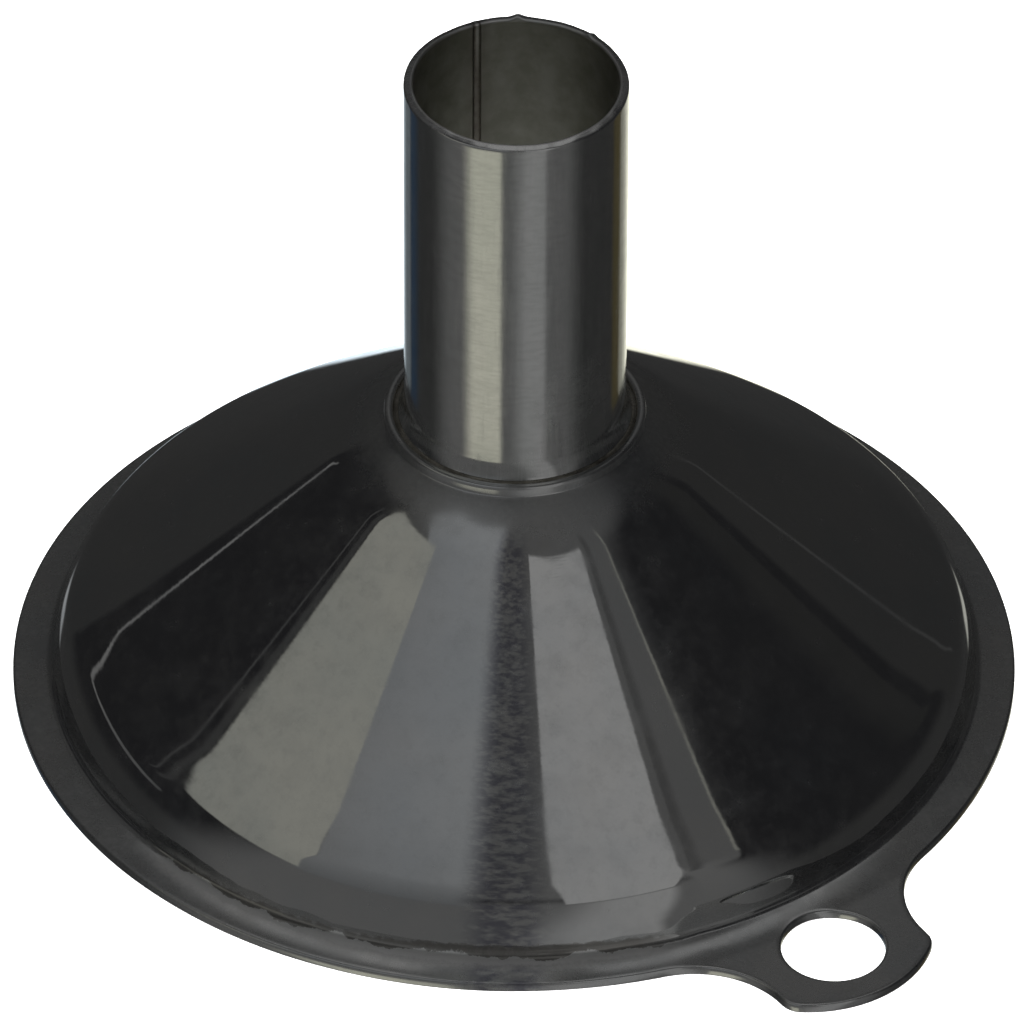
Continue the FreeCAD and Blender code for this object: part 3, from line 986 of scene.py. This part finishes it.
# Reflector cards and softboxes, farthest first, as (name, (left rail, right rail), soft width of the
# left side, of the right side and of both ends, colour, strength at the foot and at the head).  A rail
# runs from foot to head through (bearing, elevation) points in degrees, with bearings counted to the
# right of the camera.
CARDS = [
    ("low_wall", upright(-180, 180, -62, 6), (1, 1, 16), NEUTRAL, (0.03, 0.03)),
    ("ceiling", upright(-118, 118, 48, 88), (22, 22, 9), NEUTRAL, (0.07, 0.07)),
    ("left_high_wall", (((-150, 26), (-150, 62)), ((-98, 47), (-98, 72))),
     (5, 5, 4), NEUTRAL, (0.045, 0.045)),
    ("left_far_wall", upright(-190, -134, -20, 40), (1, 1.5, 12), NEUTRAL, (0.028, 0.028)),
    ("right_far_wall", upright(121, 190, -20, 40), (2, 2, 12), NEUTRAL, (0.025, 0.025)),
    ("right_far_sheen", upright(106, 119, 10, 44), (8, 1, 6), NEUTRAL, (0.02, 0.02)),
    ("rear_wall", upright(145, 215, 20, 64), (10, 10, 10), NEUTRAL, (0.04, 0.045)),
    ("rear_tab_card", upright(174, 186, 34, 44), (3, 3, 2.5), NEUTRAL, (0.085, 0.085)),
    ("rear_high_card", upright(142, 218, 50, 84), (16, 16, 4), NEUTRAL, (0.25, 0.27)),
    ("rear_left_lamp", upright(-154, -143, -28, -17), (3, 3, 4), COOL, (0.32, 0.32)),
    ("rear_right_lamp", upright(143, 154, -28, -17), (3, 3, 4), WARM, (0.45, 0.45)),
    ("rear_left_navy", upright(-138, -116, -62, -31), (2, 14, 3), NAVY, (0.06, 0.06)),
    ("rear_left_foot", upright(-181, -137, -62, -31), (1, 3, 3), SKY, (0.15, 0.15)),
    ("rear_left_glow", upright(-181, -151, -62, -31), (1, 30, 3), SKY, (1.3, 1.3)),
    ("rear_right_ochre", upright(118, 140, -62, -31), (4, 4, 3), OCHRE, (0.06, 0.06)),
    ("rear_right_glow", upright(134, 181, -62, -31), (3, 1, 3), CREAM, (0.24, 0.24)),
    ("rear_right_core", upright(138, 181, -62, -31), (38, 1, 3), CREAM, (1.35, 1.35)),
    ("front_wall", (((-106, -62), (-76, 36)), ((80, -62), (66, 36))), (28, 26, 12), NEUTRAL, (0.105, 0.095)),
    ("front_upper_wall", (((-58, 30), (-60, 50), (-62, 70)), ((57, 30), (68.5, 51), (78, 70))),
     (1.6, 1.6, 8), NEUTRAL, (0.09, 0.075)),
    ("right_low_card", (((36, -62), (44, 46)), ((62, -62), (60, 46))), (3, 14, 5), NEUTRAL, (0.095, 0.11)),
    ("cream_table", upright(-58, -12, -62, -31), (16, 5, 2), CREAM, (0.5, 0.5)),
    ("right_window_foot", (((-16, -62), (9, 26)), ((31, -62), (41, 26))), (22, 5, 3), NEUTRAL, (0.235, 0.24)),
    ("right_window", (((12, 25), (11.5, 64.8)), ((38.5, 25), (53.5, 59))),
     (0.9, 0.9, 1.2), NEUTRAL, (0.27, 0.27)),
    ("right_window_gap", strip([(48, 38), (54.8, 51), (60, 62)], 5.0),
     (0.8, 3.0, 2), NEUTRAL, (0.055, 0.055)),
    ("cool_softbox", (((-54, 20), (-60, 51), (-84, 60), (-72, 70)),
                      ((-7, 20), (-6, 46), (-5.5, 62), (-5, 77))),
     (3, 11, 5), COOL, (0.1, 0.28)),
    ("left_softbox", (((-96, 35), (-95.9, 43), (-95, 47.5), (-92.5, 50)),
                      ((-51.5, 25), (-55, 37), (-57.5, 48), (-60.5, 56.5))),
     (0.8, 0.8, 1.0), WARM, (0.23, 0.25)),
    ("right_lamp_edge", strip([(62.5, 42), (67.2, 51), (71, 60)], 1.5), (0.6, 0.6, 4), WARM, (0.17, 0.17)),
    ("left_door_edge", strip([(-132.7, 14.8), (-131.9, 16), (-130.6, 18.5)], 0.8),
     (0.4, 0.4, 1), NEUTRAL, (0.2, 0.12)),
    ("left_door_sill",
     (((-132.6, 15.8), (-129.4, 15.4), (-123, 15.9), (-113.5, 17.4), (-96, 17.5), (-90, 18)),
      ((-132.9, 14.9), (-129.4, 14.5), (-123, 13.6), (-114, 13.5), (-96, 12.5), (-90, 13))),
     (1.2, 1.2, 1), NEUTRAL, (0.17, 0.07)),
    ("left_door_stile", strip([(-101, 26), (-100.2, 44)], 0.9), (0.4, 0.4, 2), NEUTRAL, (0.055, 0.055)),
    ("left_door_jamb", (((-99, 26), (-98.5, 44)), ((-96, 26), (-95.4, 44))),
     (1, 1, 2), NEUTRAL, (0.035, 0.035)),
    ("right_far_edge", strip([(131.6, 0), (131.6, 26)], 1.2), (0.5, 0.5, 3), NEUTRAL, (0.045, 0.045)),
]


def along_rail(rail, share):
    """Point at a share of a rail's way, counted in equal steps from point to point."""
    reach = share * (len(rail) - 1)
    index = min(int(reach), len(rail) - 2)
    return Vector(rail[index]).lerp(Vector(rail[index + 1]), reach - index)


def card_material():
    """Emission with soft edges, from each card's own colour and softness."""
    graph = Graph("card_light")
    colour = graph.node("ShaderNodeAttribute", attribute_name="card_colour").outputs["Color"]
    place_layer = graph.node("ShaderNodeAttribute", attribute_name="card_place")
    place = graph.node("ShaderNodeSeparateXYZ")
    graph.put(place.inputs[0], place_layer.outputs["Vector"])
    soft_layer = graph.node("ShaderNodeAttribute", attribute_name="card_soft")
    soft = graph.node("ShaderNodeSeparateXYZ")
    graph.put(soft.inputs[0], soft_layer.outputs["Vector"])
    from_left = graph.math("ADD", 1.0, place.outputs[0])
    from_right = graph.math("SUBTRACT", 1.0, place.outputs[0])
    from_end = graph.math("SUBTRACT", 1.0, graph.math("ABSOLUTE", place.outputs[1]))
    share = 1.0
    for distance, softness in zip((from_left, from_right, from_end), soft.outputs):
        fade = graph.node("ShaderNodeMapRange", clamp=True, interpolation_type="SMOOTHSTEP")
        graph.put(fade.inputs[0], distance)
        graph.put(fade.inputs[2], softness)
        share = graph.math("MULTIPLY", share, fade.outputs[0])
    light = graph.node("ShaderNodeEmission")
    graph.put(light.inputs["Color"], colour)
    clear = graph.node("ShaderNodeBsdfTransparent")
    blend = graph.node("ShaderNodeMixShader")
    graph.put(blend.inputs[0], share)
    graph.put(blend.inputs[1], clear.outputs[0])
    graph.put(blend.inputs[2], light.outputs[0])
    output = graph.node("ShaderNodeOutputMaterial")
    graph.put(output.inputs["Surface"], blend.outputs[0])
    graph.material.cycles.emission_sampling = "NONE"
    return graph.material


def make_cards():
    """One mesh of glowing cards all round, which only polished metal sees."""
    points, faces, colours, places, softs = [], [], [], [], []
    cells = 24
    for order, (_, (left, right), soft, colour, strength) in enumerate(CARDS):
        distance = 3.0 - 0.03 * order
        width = sum((Vector(b) - Vector(a)).length for a, b in zip(left, right)) / len(left)
        height = sum((Vector(b) - Vector(a)).length for a, b in zip(left, left[1:]))
        first = len(points)
        for row in range(cells + 1):
            up = row / cells
            foot, head = along_rail(left, up), along_rail(right, up)
            for column in range(cells + 1):
                across = column / cells
                corner = foot.lerp(head, across)
                points.append(toward(corner.x, corner.y) * distance)
                glow = strength[0] + (strength[1] - strength[0]) * up
                colours.append((*(part * glow for part in colour), 1.0))
                places.append((across * 2 - 1, up * 2 - 1, 0))
                softs.append((2 * soft[0] / width, 2 * soft[1] / width, 2 * soft[2] / height))
        for row in range(cells):
            for column in range(cells):
                corner = first + row * (cells + 1) + column
                faces.append((corner, corner + 1, corner + cells + 2, corner + cells + 1))
    cards = stage_mesh("studio_cards", points, faces, card_material())
    colour_layer = cards.data.attributes.new("card_colour", "FLOAT_COLOR", "POINT")
    colour_layer.data.foreach_set("color", [part for colour in colours for part in colour])
    for layer_name, values in (("card_place", places), ("card_soft", softs)):
        layer = cards.data.attributes.new(layer_name, "FLOAT_VECTOR", "POINT")
        layer.data.foreach_set("vector", [part for value in values for part in value])
    for ray in ("camera", "diffuse", "shadow", "transmission", "volume_scatter"):
        setattr(cards, "visible_" + ray, False)


def make_lights():
    """One big soft light over the floor. It doesn't show in the metal."""
    light = bpy.data.lights.new("overhead_softbox", "AREA")
    light.shape = "DISK"
    light.size = 1.6
    light.energy = 22
    lamp = bpy.data.objects.new("overhead_softbox", light)
    lamp.location = (0, 0, 1.5)
    lamp.visible_glossy = False
    lamp.visible_camera = False
    bpy.context.scene.collection.objects.link(lamp)
    world = bpy.data.worlds.new("studio")
    world.use_nodes = True
    background = world.node_tree.nodes["Background"]
    background.inputs["Color"].default_value = (0.014, 0.014, 0.015, 1)
    bpy.context.scene.world = world
    bpy.context.scene.view_settings.view_transform = "Standard"


# ---------------------------------------------------------------- build

make_camera()
make_bowl(bowl_steel())
make_spout(spout_steel())
make_seam(weld_steel())
make_braze(braze_metal())
make_cove()
make_mouth_floor()
make_cards()
make_lights()
